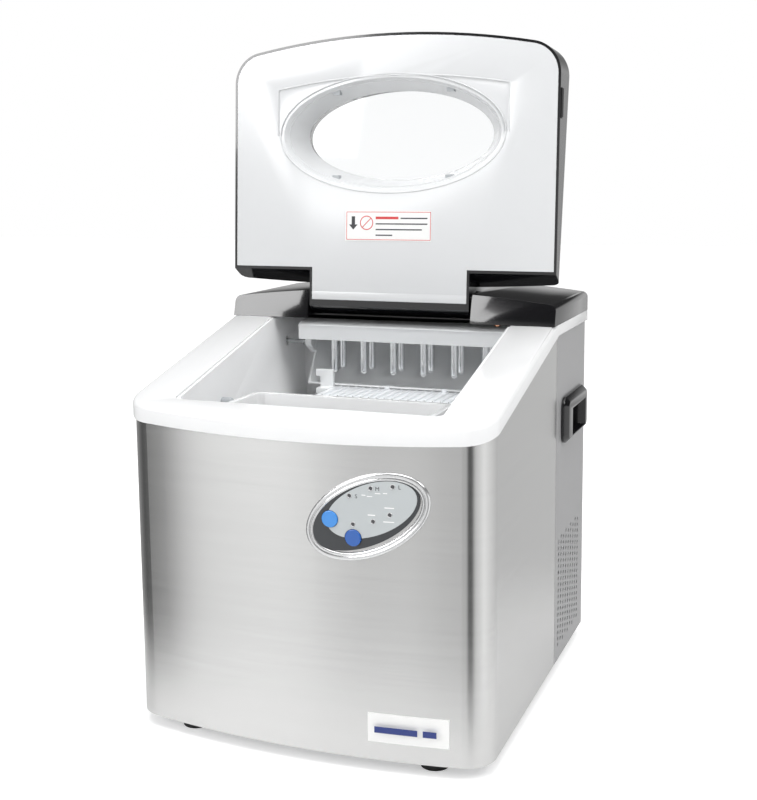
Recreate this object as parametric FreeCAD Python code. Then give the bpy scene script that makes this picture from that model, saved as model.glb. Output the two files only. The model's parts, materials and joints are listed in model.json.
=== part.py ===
"""Counter-top ice maker: stainless cabinet, hinged lid with a window, tilting water tray and ice basket.

Millimetres. X runs to the right seen from the front, Y to the back, Z up. The origin is on the
surface that the feet stand on, under the middle of the cabinet.
"""

import FreeCAD
import Part
import math
import os

# ---- driving dimensions ------------------------------------------------------------------------
CABINET_WIDTH = 294.0
CABINET_DEPTH = 328.0
FOOT_HEIGHT = 10.0
FRONT_BOW = 15.3            # how far the front bulges out at its middle
CORNER_RADIUS = 23.7        # vertical corners at the front
OVERHANG = 2.0              # the white frame and the deck stand proud of the sheet metal
SHEET = 0.8                 # steel wrap
PANEL = 1.0                 # grey rear panels
WALL = 2.2                  # moulded plastic
SLOPE = math.radians(14.25)  # the frame and the closed lid rise to the back
FRONT_EDGE_Z = 245.9        # top edge of the front panel at its middle
FRAME_RISE = 13.3           # frame's top plane over the panel's top edge
SEAM_Y = 52.0               # joint between the front wrap and the rear panels
DECK_Z = 309.8              # underside of the black deck
DECK_FACE_Y = 34.5
DECK_FACE_LEAN = math.radians(16.0)
CROWN_Z = 336.5             # highest line of the deck
CROWN_RADIUS = 1200.0
OPENING_HALF_WIDTH = 111.3
OPENING_FRONT_Y = -138.8
OPENING_REAR_Y = 104.0
HINGE_Y = 51.5
HINGE_Z = 329.3
HINGE_PIN_RADIUS = 2.2
OPEN_ANGLE = 107.75         # lid travel, degrees
NOTCH_HALF_WIDTH = 75.7     # gap in the deck that the lid's hinge tab sits in
BARREL_RADIUS = 16.8

LID_HALF_WIDTH = 148.9
LID_LENGTH = 203.6
LID_BOW = 16.75
LID_CORNER = 27.7
LID_GAP = 0.8               # closed lid over the frame
LID_BACK_Y = 33.0           # closed lid's rear edge
LID_SLOPE = math.radians(7.3)  # outer top of the closed lid
TAB_HALF_WIDTH = 71.8
TAB_LENGTH = 31.3
WINDOW_V = 118.5            # window's middle, from the lid's rear edge
WINDOW_NEAR = (100.0, 47.4)
WINDOW_FAR = (86.2, 38.5)
WINDOW_DEPTH = 25.0

PIVOT_Y = 61.4              # water tray's axis
PIVOT_Z = 284.5
TRAY_RADIUS = 38.5
TRAY_TILT = 60.0            # degrees between making ice and dropping it

HALF_W = CABINET_WIDTH / 2
FRONT_Y = -CABINET_DEPTH / 2
BACK_Y = CABINET_DEPTH / 2
RISE = math.tan(SLOPE)
TINY = 0.3                  # running clearance between plastic parts

V = FreeCAD.Vector
X_AXIS, Y_AXIS, Z_AXIS = V(1, 0, 0), V(0, 1, 0), V(0, 0, 1)


# ---- shape helpers -----------------------------------------------------------------------------
def box(x0, x1, y0, y1, z0, z1):
    return Part.makeBox(x1 - x0, y1 - y0, z1 - z0, V(x0, y0, z0))


def rod(radius, start, end):
    run = V(*end) - V(*start)
    return Part.makeCylinder(radius, run.Length, V(*start), run)


def tube(outer, inner, start, end):
    return rod(outer, start, end).cut(rod(inner, start, end))


def prism(points, vector):
    """A flat polygon swept along a vector."""
    loop = [V(*p) for p in points]
    return Part.Face(Part.makePolygon(loop + [loop[0]])).extrude(V(*vector))


def side_profile(points, half_width):
    """A polygon of (y, z) points swept from -half_width to +half_width."""
    return prism([(-half_width, y, z) for y, z in points], (2 * half_width, 0, 0))


def soft_box(x0, x1, y0, y1, z0, z1, radius):
    """A box with rounded vertical edges."""
    block = box(x0, x1, y0, y1, z0, z1)
    upright = [e for e in block.Edges if abs(e.tangentAt(e.FirstParameter).z) > 0.9]
    return block.makeFillet(radius, upright)


def bowed_outline(half_width, bow, corner, front, back, offset=0.0):
    """Plan face: bowed front, rounded front corners, straight sides and back, grown by offset."""
    arc_radius = (half_width ** 2 + bow ** 2) / (2 * bow)
    arc_y = front + arc_radius
    corner_x = half_width - corner
    corner_y = arc_y - math.sqrt((arc_radius - corner) ** 2 - corner_x ** 2)
    toward = V(corner_x, corner_y - arc_y, 0).normalize()
    right = V(0, arc_y, 0) + toward * (arc_radius + offset)
    side_x = half_width + offset
    halfway = (math.atan2(toward.y, toward.x)) / 2
    bend = V(corner_x + (corner + offset) * math.cos(halfway),
             corner_y + (corner + offset) * math.sin(halfway), 0)
    apex = V(0, front - offset, 0)

    def flip(p):
        return V(-p.x, p.y, p.z)

    side = V(side_x, corner_y, 0)
    rear = V(side_x, back + offset, 0)
    edges = [
        Part.Arc(flip(right), apex, right).toShape(),
        Part.Arc(right, bend, side).toShape(),
        Part.LineSegment(side, rear).toShape(),
        Part.LineSegment(rear, flip(rear)).toShape(),
        Part.LineSegment(flip(rear), flip(side)).toShape(),
        Part.Arc(flip(side), flip(bend), flip(right)).toShape(),
    ]
    return Part.Face(Part.Wire(edges))


def plan(offset, z0, z1, back=BACK_Y):
    """The cabinet's plan, grown by offset, between two heights."""
    face = bowed_outline(HALF_W, FRONT_BOW, CORNER_RADIUS, FRONT_Y, back, offset)
    face.translate(V(0, 0, z0))
    return face.extrude(V(0, 0, z1 - z0))


def bow_cylinder(offset, z0, z1):
    """A big upright cylinder whose skin is the front panel's skin moved out by offset."""
    radius = (HALF_W ** 2 + FRONT_BOW ** 2) / (2 * FRONT_BOW)
    return Part.makeCylinder(radius + offset, z1 - z0, V(0, FRONT_Y + radius, z0))


def bow_y(x):
    """Where the front panel's skin lies, x away from its middle."""
    radius = (HALF_W ** 2 + FRONT_BOW ** 2) / (2 * FRONT_BOW)
    return FRONT_Y + radius - math.sqrt(radius ** 2 - x ** 2)


def oval(cx, cz, a, b, degrees, y0=FRONT_Y - 10, y1=FRONT_Y + 30):
    """A tilted elliptical prism along Y, placed on the front panel."""
    ellipse = Part.Ellipse(V(0, 0, 0), a, b).toShape()
    face = Part.Face(Part.Wire([ellipse]))
    face.rotate(V(0, 0, 0), X_AXIS, 90)
    face.rotate(V(0, 0, 0), Y_AXIS, -degrees)
    face.translate(V(cx, y0, cz))
    return face.extrude(V(0, y1 - y0, 0))


def frame_top(y):
    """Height of the white frame's top face."""
    return FRONT_EDGE_Z + FRAME_RISE + RISE * (y - FRONT_Y)


def below_slope(drop, rear_level):
    """Everything under the frame's sloping plane, lowered by drop, and under a flat rear level."""
    y_break = FRONT_Y + (rear_level - (frame_top(FRONT_Y) - drop)) / RISE
    return side_profile([
        (FRONT_Y - 40, -50), (FRONT_Y - 40, frame_top(FRONT_Y - 40) - drop),
        (y_break, rear_level), (BACK_Y + 40, rear_level), (BACK_Y + 40, -50)], 400)


def group(shapes):
    return Part.makeCompound(shapes)


def mirrored(shape):
    return shape.mirror(V(0, 0, 0), X_AXIS)


def fillet_where(shape, radius, wanted):
    """Rounds the edges that wanted(edge) picks, or leaves the shape sharp if there are none."""
    picked = [e for e in shape.Edges if wanted(e)]
    return shape.makeFillet(radius, picked) if picked else shape


# ---- cabinet -----------------------------------------------------------------------------------
PANEL_TOP_REAR = 300.7      # level top edge of the rear panels
FRAME_SKIN = 3.0
TUBE_HOLE = (82.0, 102.0, 112.0, 134.0)  # in the frame's flat rear part
TUCK = 5.0                  # how far the sheet metal runs up inside the frame's skirt


def base_pan():
    floor = plan(-SHEET - 0.2, FOOT_HEIGHT, FOOT_HEIGHT + 3)
    lip = plan(-SHEET - 0.2, FOOT_HEIGHT, FOOT_HEIGHT + 14).cut(plan(-SHEET - 2.2, 0, 60))
    return floor.fuse(lip).removeSplitter()


FOOT_PLACES = [(sx * 101.0, sy * 134.0) for sx in (-1, 1) for sy in (-1, 1)]


def rubber_feet():
    feet = []
    for x, y in FOOT_PLACES:
        pad = Part.makeCone(11, 12.5, FOOT_HEIGHT, V(x, y, 0))
        recess = rod(4, (x, y, -1), (x, y, 3))
        feet.append(pad.cut(recess))
    return group(feet)


PANEL_CENTRE = (59.2, 193.6)
BEZEL = (49.7, 29.2, 24.5)
FACE_CENTRE = (57.1, 194.6)
FACE = (44.5, 22.5, 24.0)


def front_wrap():
    top = PANEL_TOP_REAR + TUCK
    skin = plan(0, FOOT_HEIGHT, top, SEAM_Y).cut(plan(-SHEET, 0, 400, SEAM_Y + 40))
    skin = skin.common(below_slope(FRAME_RISE - TUCK, top))
    panel_hole = oval(*FACE_CENTRE, FACE[0] - 4, FACE[1] - 4, FACE[2])
    return skin.cut(panel_hole).cut(button_holes(BUTTON_RADIUS + TINY)).cut(lamp_holes(LAMP_HOLE))


HANDLE_Y = (70.0, 152.0)
HANDLE_Z = (203.0, 243.5)
VENT_Y, VENT_Z = (66.0, 142.0), (24.0, 120.0)
VENT_COLUMNS, VENT_ROWS, VENT_RADIUS = 9, 18, 1.8


def vent_holes(x0, x1):
    """Staggered round holes through the side panel."""
    step_y = (VENT_Y[1] - VENT_Y[0]) / (VENT_COLUMNS - 1)
    step_z = (VENT_Z[1] - VENT_Z[0]) / (VENT_ROWS - 0.5)
    holes = []
    for column in range(VENT_COLUMNS):
        stagger = 0.5 * (column % 2)
        for row in range(VENT_ROWS):
            y = VENT_Y[0] + column * step_y
            z = VENT_Z[0] + (row + stagger) * step_z
            holes.append(rod(VENT_RADIUS, (x0, y, z), (x1, y, z)))
    return group(holes)


def side_panel_right():
    sheet = box(HALF_W - PANEL, HALF_W, SEAM_Y + 0.6, BACK_Y, FOOT_HEIGHT, PANEL_TOP_REAR + TUCK)
    y0, y1, z0, z1 = GRIP_CUP
    grip = box(HALF_W - 5, HALF_W + 5, y0 - 2.3, y1 + 2.3, z0 - 2.3, z1 + 2.3)
    return sheet.cut(grip).cut(vent_holes(HALF_W - 5, HALF_W + 5))


BACK_SLOTS, BACK_SLOT_Z = 14, (40.0, 150.0)
GLAND = (95.0, 40.0)        # x, z of the supply gland on the back
DRAIN_PLACE = (-98.0, 72.0)  # x, z of the drain on the back
SCREW_PLACES = [(sx * 138.0, z) for sx in (-1, 1) for z in (32.0, 120.0, 205.0, 292.0)]
SCREW_RADIUS = 1.6


def back_panel():
    sheet = box(-HALF_W + PANEL, HALF_W - PANEL, BACK_Y - PANEL, BACK_Y, FOOT_HEIGHT, PANEL_TOP_REAR + TUCK)
    for i in range(BACK_SLOTS):
        z = BACK_SLOT_Z[0] + 20 + i * 8
        sheet = sheet.cut(box(-60, 60, BACK_Y - 5, BACK_Y + 5, z, z + 3.5))
    sheet = sheet.cut(rod(7, (GLAND[0], BACK_Y - 5, GLAND[1]), (GLAND[0], BACK_Y + 5, GLAND[1])))
    sheet = sheet.cut(rod(12, (DRAIN_PLACE[0], BACK_Y - 5, DRAIN_PLACE[1]),
                          (DRAIN_PLACE[0], BACK_Y + 5, DRAIN_PLACE[1])))
    holes = [rod(SCREW_RADIUS, (x, BACK_Y - 5, z), (x, BACK_Y + 5, z)) for x, z in SCREW_PLACES]
    return sheet.cut(group(holes))


def top_frame():
    """White moulding: skirt all round, sloping top with the big opening, flat rear under the deck."""
    rear_top = DECK_Z
    solid = plan(OVERHANG, 200, rear_top).common(below_slope(0, rear_top))
    solid = solid.cut(below_slope(FRAME_RISE, PANEL_TOP_REAR))
    solid = fillet_where(solid, 4.0, lambda e: outer_top_edge(e))
    hollow = plan(TINY, 150, rear_top).common(below_slope(FRAME_SKIN, rear_top - FRAME_SKIN))
    opening = soft_box(-OPENING_HALF_WIDTH, OPENING_HALF_WIDTH, OPENING_FRONT_Y, OPENING_REAR_Y,
                       150, 400, 7.0)
    frame = solid.cut(hollow).cut(opening).fuse(opening_lip()).removeSplitter()
    return frame.cut(soft_box(*TUBE_HOLE, 280, 330, 4))


def outer_top_edge(edge):
    """Edges of the frame's outer top rim in front of the deck."""
    box_ = edge.BoundBox
    middle = edge.valueAt((edge.FirstParameter + edge.LastParameter) / 2)
    on_top = abs(middle.z - min(frame_top(middle.y), DECK_Z)) < 0.2
    along_x_inside = box_.XLength > 290 and middle.y > 0
    return on_top and not along_x_inside and box_.YMax < DECK_FACE_Y + 5


def opening_lip():
    """Short upright lip under the opening's edge, which the tub hangs on."""
    outer = soft_box(-OPENING_HALF_WIDTH - 2, OPENING_HALF_WIDTH + 2, OPENING_FRONT_Y - 2,
                     OPENING_REAR_Y + 2, 150, 400, 9.0)
    inner = soft_box(-OPENING_HALF_WIDTH, OPENING_HALF_WIDTH, OPENING_FRONT_Y, OPENING_REAR_Y,
                     140, 410, 7.0)
    band = below_slope(0.5, DECK_Z - 0.5).cut(below_slope(9, DECK_Z - 9))
    return outer.cut(inner).common(band)


# ---- deck and hinge ----------------------------------------------------------------------------
FACE_TAN = math.tan(DECK_FACE_LEAN)
DECK_WALL = 2.5


def crown(lower, y0, y1):
    """Solid under the deck's crowned top, lowered by lower."""
    radius = CROWN_RADIUS - lower
    return Part.makeCylinder(radius, y1 - y0, V(0, y0, CROWN_Z - CROWN_RADIUS), Y_AXIS)


def deck_block(inset):
    """The deck's outer form, shrunk all round by inset."""
    y_face = DECK_FACE_Y + inset
    block = plan(OVERHANG - inset, DECK_Z, CROWN_Z + 5)
    block = block.common(crown(inset, -10, BACK_Y + 20))
    ahead = side_profile([(-300, 0), (y_face - FACE_TAN * DECK_Z, 0),
                          (y_face + FACE_TAN * 90, DECK_Z + 90), (-300, DECK_Z + 90)], 400)
    return block.cut(ahead)


def hinge_notch(grow):
    half = NOTCH_HALF_WIDTH + grow
    barrel = rod(BARREL_RADIUS + 0.8 + grow, (-half, HINGE_Y, HINGE_Z), (half, HINGE_Y, HINGE_Z))
    front = box(-half, half, DECK_FACE_Y - 20, HINGE_Y, DECK_Z - 10, CROWN_Z + 10)
    top = box(-half, half, HINGE_Y - 1, HINGE_Y + BARREL_RADIUS + 0.8 + grow, HINGE_Z, CROWN_Z + 10)
    return barrel.fuse(front).fuse(top)


def rear_deck():
    shell = deck_block(0)
    shell = fillet_where(shell, 5.5, deck_top_edge)
    hollow = deck_block(DECK_WALL).fuse(plan(OVERHANG - DECK_WALL, DECK_Z - 1, DECK_Z + 1).common(
        box(-200, 200, DECK_FACE_Y + DECK_WALL, 200, 300, 340)))
    lugs = box(-84, 84, 36, 66, DECK_Z - 5, CROWN_Z + 5)
    hollow = hollow.cut(hinge_notch(DECK_WALL)).cut(lugs.cut(box(-70, 70, 0, 100, 300, 345)))
    pin_bore = rod(HINGE_PIN_RADIUS + 0.05, (-86, HINGE_Y, HINGE_Z), (86, HINGE_Y, HINGE_Z))
    return shell.cut(hollow).cut(hinge_notch(0)).cut(pin_bore).removeSplitter()


def deck_top_edge(edge):
    """The deck's upper edges along the sides, the back and the two front faces."""
    middle = edge.valueAt((edge.FirstParameter + edge.LastParameter) / 2)
    rise = CROWN_Z - CROWN_RADIUS + math.sqrt(CROWN_RADIUS ** 2 - middle.x ** 2)
    return abs(middle.z - rise) < 0.3 and middle.y > DECK_FACE_Y + 12


# ---- lid, made closed and then swung open ------------------------------------------------------
def seat(shape):
    """From the lid's own frame (x, distance forward as -y, height over its inner face) to closed."""
    shape = shape.copy()
    shape.rotate(V(0, 0, 0), X_AXIS, math.degrees(SLOPE))
    shape.translate(V(0, LID_BACK_Y, frame_top(LID_BACK_Y) + LID_GAP))
    return shape


def swing_open(shape):
    shape = shape.copy()
    shape.rotate(V(0, HINGE_Y, HINGE_Z), X_AXIS, -OPEN_ANGLE)
    return shape


def inner_half_space():
    """Everything over the closed lid's inner face."""
    slab = Part.makeBox(800, 800, 400, V(-400, -500, 0))
    return seat(slab)


def lid_plan(inset, height):
    face = bowed_outline(LID_HALF_WIDTH, LID_BOW, LID_CORNER, -LID_LENGTH, 60, -inset)
    return seat(face.extrude(V(0, 0, height)))


def lid_top(lower):
    """Solid under the closed lid's crowned, sloping top."""
    radius = CROWN_RADIUS - lower
    axis = V(0, math.cos(LID_SLOPE), math.sin(LID_SLOPE))
    start = V(0, 41 + CROWN_RADIUS * math.sin(LID_SLOPE),
              CROWN_Z - 0.2 - CROWN_RADIUS * math.cos(LID_SLOPE)) - axis * 600
    return Part.makeCylinder(radius, 1200, start, axis)


def lid_body(inset):
    y_back = LID_BACK_Y - inset
    base = frame_top(LID_BACK_Y)
    behind = side_profile([(y_back - FACE_TAN * 60, base - 60), (y_back + FACE_TAN * 90, base + 90),
                           (300, base + 90), (300, base - 60)], 400)
    return lid_plan(inset, 120).common(lid_top(inset)).cut(behind)


def hinge_tab(inset):
    half = TAB_HALF_WIDTH + WALL - inset
    barrel = rod(BARREL_RADIUS - inset, (-half, HINGE_Y, HINGE_Z), (half, HINGE_Y, HINGE_Z))
    neck = box(-half, half, LID_BACK_Y - 12, HINGE_Y, DECK_Z - 20, CROWN_Z)
    upper = box(-half, half, HINGE_Y - 1, HINGE_Y + BARREL_RADIUS, HINGE_Z, CROWN_Z).common(barrel)
    tab = barrel.fuse(neck).fuse(upper).common(crown(inset, -50, 150))
    return tab.common(inner_half_space())


def window_prism(a, b, t0, t1):
    face = Part.Face(Part.Wire([Part.Ellipse(V(0, 0, 0), a, b).toShape()]))
    face.translate(V(0, -WINDOW_V, t0))
    return seat(face.extrude(V(0, 0, t1 - t0)))


def window_well(grow, depth):
    """Tapering elliptical well from the inner face up to the pane."""
    def ring(size, t):
        wire = Part.Wire([Part.Ellipse(V(0, 0, 0), size[0] + grow, size[1] + grow).toShape()])
        wire.translate(V(0, -WINDOW_V, t))
        return wire
    return seat(Part.makeLoft([ring(WINDOW_NEAR, 0), ring(WINDOW_FAR, depth)], True))


PANE_SIZE = (WINDOW_FAR[0] + 2.2, WINDOW_FAR[1] + 2.2)
PANE_THICKNESS = 2.4
GRIP_V = (128.0, 153.0)
LINER = 2.0


def lid_rim_edge(edge):
    """Upper outer edges of the closed lid's main body: both sides, the corners and the front."""
    middle = edge.valueAt((edge.FirstParameter + edge.LastParameter) / 2)
    floor = frame_top(middle.y) + LID_GAP
    above = middle.z - floor > 12
    upright = edge.BoundBox.ZLength > 12 and edge.BoundBox.YLength < 12
    return above and not upright and middle.y < LID_BACK_Y - 20


def lid_shell():
    body = fillet_where(lid_body(0), 7.0, lid_rim_edge)
    outer = body.fuse(hinge_tab(0))
    hollow = lid_body(WALL).fuse(hinge_tab(WALL))
    collar = window_prism(PANE_SIZE[0] + WALL, PANE_SIZE[1] + WALL,
                          WINDOW_DEPTH + PANE_THICKNESS + 0.2, 90).common(lid_top(0))
    hole = window_prism(*PANE_SIZE, -5, 120)
    grips = []
    for side in (-1, 1):
        x0, x1 = sorted((side * (LID_HALF_WIDTH - 1), side * (LID_HALF_WIDTH + 1.6)))
        bump = Part.makeBox(x1 - x0, GRIP_V[1] - GRIP_V[0], 9, V(x0, -GRIP_V[1], 3))
        bump_rim = [e for e in bump.Edges if abs(e.CenterOfMass.x) > LID_HALF_WIDTH + 1]
        grips.append(seat(bump.makeChamfer(1.2, bump_rim)))
    shell = outer.cut(hollow).fuse(collar).cut(hole)
    for grip in grips:
        shell = shell.fuse(grip.cut(hollow))
    bore = rod(HINGE_PIN_RADIUS, (-80, HINGE_Y, HINGE_Z), (80, HINGE_Y, HINGE_Z))
    return swing_open(shell.cut(bore).removeSplitter())


def lid_liner():
    sheet = lid_plan(WALL + 0.1, LINER).common(lid_body(WALL + 0.1))
    tab = hinge_tab(WALL + 0.1).common(seat(Part.makeBox(400, 400, LINER, V(-200, -200, 0))))
    outer_well = window_well(LINER, WINDOW_DEPTH)
    step = bowed_outline(106, 9, 4, -167, -118, 0)
    step = seat(step.extrude(V(0, 0, 0.6)))
    sheet = sheet.fuse(tab).cut(step)
    return swing_open(sheet.fuse(outer_well).cut(window_well(0, WINDOW_DEPTH)).cut(
        window_prism(*WINDOW_FAR, 0, 60)).removeSplitter())


def window_pane():
    return swing_open(window_prism(PANE_SIZE[0] - 0.2, PANE_SIZE[1] - 0.2, WINDOW_DEPTH + 0.1,
                                   WINDOW_DEPTH + PANE_THICKNESS))


def window_clips():
    """Four snap clips that hold the pane, standing in the well's wall."""
    clips = []
    for u in (-52.5, 52.5):
        for dv in (-37.2, 36.7):
            clip = Part.makeBox(6.4, 4.0, 5, V(u - 3.2, -(WINDOW_V + dv) - 2, 6))
            clips.append(seat(clip).common(window_well(0, WINDOW_DEPTH)))
    return swing_open(group(clips))


def hinge_pins():
    return group([rod(HINGE_PIN_RADIUS, (side * 62, HINGE_Y, HINGE_Z), (side * 83.5, HINGE_Y, HINGE_Z))
                  for side in (-1, 1)])


def safety_label():
    return swing_open(seat(Part.makeBox(79.5, 26, 0.3, V(-40, -52, -0.3))))


# ---- inside ------------------------------------------------------------------------------------
TUB_FLOOR, SHELF_FLOOR, SHELF_Y = 60.0, 226.0, -9.0
TUB_TAPER = 4.5


def tub_solid(inset):
    top, low = DECK_Z - 1.0, TUB_FLOOR + inset
    x_top = OPENING_HALF_WIDTH - 0.3 - inset
    trough = prism([(-x_top, -200, 400), (-x_top, -200, top), (-x_top + TUB_TAPER, -200, low),
                    (x_top - TUB_TAPER, -200, low), (x_top, -200, top), (x_top, -200, 400)], (0, 400, 0))
    y0, y1 = OPENING_FRONT_Y + 0.3 + inset, OPENING_REAR_Y - 0.3 - inset
    outline = side_profile([(y0, 400), (y0, low), (SHELF_Y - inset, low),
                            (SHELF_Y - inset, SHELF_FLOOR + inset), (y1, SHELF_FLOOR + inset), (y1, 400)], 300)
    corners = soft_box(-x_top, x_top, y0, y1, 0, 450, 6.5)
    return trough.common(outline).common(corners)


LEDGE = (196.0, 200.0)


def inner_tub():
    shell = tub_solid(0).cut(tub_solid(WALL)).common(below_slope(1.2, DECK_Z - 1.2))
    for side in (-1, 1):
        x0, x1 = sorted((side * 94, side * 108))
        ledge = box(x0, x1, -112, -76, *LEDGE).common(tub_solid(WALL / 2))
        shell = shell.fuse(ledge)
    pivot_slot = box(-115, -100, PIVOT_Y - 2.2, PIVOT_Y + 2.2, PIVOT_Z - 4.5, PIVOT_Z + 4.5)
    motor_hole = rod(4, (100, PIVOT_Y, PIVOT_Z), (115, PIVOT_Y, PIVOT_Z))
    drain_hole = rod(4.6, (DRAIN_PLACE[0], SHELF_Y - 10, DRAIN_PLACE[1]),
                     (DRAIN_PLACE[0], SHELF_Y + 10, DRAIN_PLACE[1]))
    return shell.cut(pivot_slot).cut(motor_hole).cut(drain_hole).removeSplitter()


def insulation():
    block = box(-118, 118, -146, -2, 52, 222).cut(tub_solid(-0.2))
    x, z = DRAIN_PLACE
    return block.cut(rod(6.4, (x, SHELF_Y - 2, z), (x, 0, z)))


BASKET_X, BASKET_Y, BASKET_Z = 88.0, (-126.0, -42.0), (130.0, 256.0)


def ice_basket():
    y0, y1 = BASKET_Y
    outer = soft_box(-BASKET_X + 3, BASKET_X - 3, y0 + 3, y1 - 3, *BASKET_Z, 8)
    rim = soft_box(-BASKET_X, BASKET_X, y0, y1, BASKET_Z[1] - 5, BASKET_Z[1], 10)
    inner = soft_box(-BASKET_X + 5, BASKET_X - 5, y0 + 5, y1 - 5, BASKET_Z[0] + 2, 300, 6)
    basket = outer.fuse(rim).cut(inner)
    slots = [box(x - 3, x + 3, y0 - 2, y1 + 2, 150, 236) for x in range(-70, 71, 14)]
    slots += [box(-BASKET_X - 2, BASKET_X + 2, y - 3, y + 3, 150, 236) for y in range(-112, -55, 14)]
    slots += [box(x - 3, x + 3, y0 + 16, y1 - 16, 100, 140) for x in range(-70, 71, 14)]
    basket = basket.cut(group(slots))
    for side in (-1, 1):
        x0, x1 = sorted((side * (BASKET_X - 3.5), side * 99))
        basket = basket.fuse(box(x0, x1, -108, -80, LEDGE[1] + TINY, LEDGE[1] + 4))
    return basket


# rake: pushes the ice forward as the tray swings
RAKE_X, RAKE_Y, RAKE_Z = (-43.0, 98.0), (-24.0, 22.0), 250.0


def rake_plate():
    plate = box(*RAKE_X, *RAKE_Y, RAKE_Z, RAKE_Z + 2)
    ribs = [box(x - 0.6, x + 0.6, RAKE_Y[0], RAKE_Y[1] - 4, RAKE_Z + 2, RAKE_Z + 3.4)
            for x in range(-36, 97, 7)]
    lip = box(*RAKE_X, RAKE_Y[0], RAKE_Y[0] + 2, RAKE_Z - 5, RAKE_Z)
    pegs = [rod(2.4, (x, RAKE_Y[1] - 2.6, RAKE_Z), (x, RAKE_Y[1] - 2.6, RAKE_Z + 5)) for x in (6, 58)]
    return plate.multiFuse(ribs + [lip] + pegs)


def rake_bracket():
    arm = box(-56, RAKE_X[0], 8, 22, RAKE_Z - 3, RAKE_Z + 2)
    upright = box(-56, -44, 17.5, 21.5, RAKE_Z + 2, RAKE_Z + 17)
    tip = box(-60, -52, 17.5, 21.5, RAKE_Z + 11, RAKE_Z + 17)
    return arm.fuse(upright).fuse(tip)


TRAY_LEFT, TRAY_RIGHT = -90.0, 107.0
TRAY_TAPER = (0.62, 0.36)
EARS = ((-88.0, -82.0), (101.0, 106.5))
EAR_RADIUS = 5.0
SPIGOT_RADIUS = 3.0


def tray_solid(inset):
    """Boat-shaped trough in its ice-making place, open upwards, shrunk by inset."""
    depth = TRAY_RADIUS - inset
    barrel = rod(TRAY_RADIUS - inset, (-120, PIVOT_Y, PIVOT_Z), (130, PIVOT_Y, PIVOT_Z))
    left, right = TRAY_LEFT + inset * 1.2, TRAY_RIGHT - inset * 1.2
    ends = prism([(left, 0, PIVOT_Z), (left + TRAY_TAPER[0] * depth, 0, PIVOT_Z - depth),
                  (right - TRAY_TAPER[1] * depth, 0, PIVOT_Z - depth), (right, 0, PIVOT_Z)], (0, 200, 0))
    return barrel.common(ends).common(box(-200, 200, 0, 200, 200, PIVOT_Z - 9.8 + (5 if inset else 0)))


def water_tray():
    tray = tray_solid(0).cut(tray_solid(1.8))
    for x0, x1 in EARS:
        ear = rod(EAR_RADIUS, (x0, PIVOT_Y, PIVOT_Z), (x1, PIVOT_Y, PIVOT_Z))
        stem = box(x0, x1, PIVOT_Y - EAR_RADIUS, PIVOT_Y + EAR_RADIUS, PIVOT_Z - 14, PIVOT_Z)
        tray = tray.fuse(ear).fuse(stem.cut(tray_solid(1.8)))
    tray = tray.cut(rod(SPIGOT_RADIUS, (-95, PIVOT_Y, PIVOT_Z), (-84, PIVOT_Y, PIVOT_Z)))
    tray = tray.cut(rod(SPIGOT_RADIUS, (98, PIVOT_Y, PIVOT_Z), (108, PIVOT_Y, PIVOT_Z)))
    tray = tray.removeSplitter()
    tray.rotate(V(0, PIVOT_Y, PIVOT_Z), X_AXIS, TRAY_TILT)
    return tray


def inlet_pivot():
    """Hollow clear spigot on the tray's left end: the tray turns on it and is filled through it."""
    return tube(2.1, 1.2, (-112.5, PIVOT_Y, PIVOT_Z), (-91.5, PIVOT_Y, PIVOT_Z)).fuse(
        tube(3.0, 1.2, (-91.5, PIVOT_Y, PIVOT_Z), (-84.1, PIVOT_Y, PIVOT_Z)))


def tray_motor():
    case = box(114, 136, PIVOT_Y - 16, PIVOT_Y + 20, PIVOT_Z - 24, PIVOT_Z + 12)
    return case.cut(rod(3.05, (100, PIVOT_Y, PIVOT_Z), (131, PIVOT_Y, PIVOT_Z)))


def motor_shaft():
    return rod(3.0, (102.6, PIVOT_Y, PIVOT_Z), (130, PIVOT_Y, PIVOT_Z))


FINGER_X0, FINGER_PITCH, FINGERS_PER_ROW = -55.0, 28.2, 6
FINGER_ROWS_Y = (48.0, 67.5)
FINGER_RADIUS, FINGER_TIP_Z = 3.2, 259.5
EVAPORATOR_Z = (291.0, 297.0)
COVER_Z = (290.0, 309.0)


def evaporator_plate():
    return soft_box(-70, 101, 42, 73, *EVAPORATOR_Z, 5)


def evaporator_fingers():
    fingers = []
    for y in FINGER_ROWS_Y:
        for i in range(FINGERS_PER_ROW):
            x = FINGER_X0 + i * FINGER_PITCH
            shank = rod(FINGER_RADIUS, (x, y, FINGER_TIP_Z + FINGER_RADIUS), (x, y, EVAPORATOR_Z[0]))
            tip = Part.makeSphere(FINGER_RADIUS, V(x, y, FINGER_TIP_Z + FINGER_RADIUS))
            fingers.append(shank.fuse(tip).removeSplitter())
    return group(fingers)


def pipe(points, radius, bend):
    """Round tube along straight runs joined by tangent arcs."""
    stops = [V(*p) for p in points]
    edges, start = [], stops[0]
    for before, corner, after in zip(stops, stops[1:], stops[2:]):
        into, out = (corner - before).normalize(), (after - corner).normalize()
        turn = into.getAngle(out)
        reach = bend * math.tan(turn / 2)
        first, last = corner - into * reach, corner + out * reach
        inward = (out - into).normalize()
        middle = corner + inward * (bend / math.cos(turn / 2) - bend)
        edges += [Part.LineSegment(start, first).toShape(), Part.Arc(first, middle, last).toShape()]
        start = last
    edges.append(Part.LineSegment(start, stops[-1]).toShape())
    heading = (stops[1] - stops[0]).normalize()
    disc = Part.Face(Part.Wire([Part.Circle(stops[0], heading, radius).toShape()]))
    return Part.Wire(edges).makePipe(disc)


SUCTION_Z = 314.0           # where the cold plate's tube meets the line back to the compressor


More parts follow.
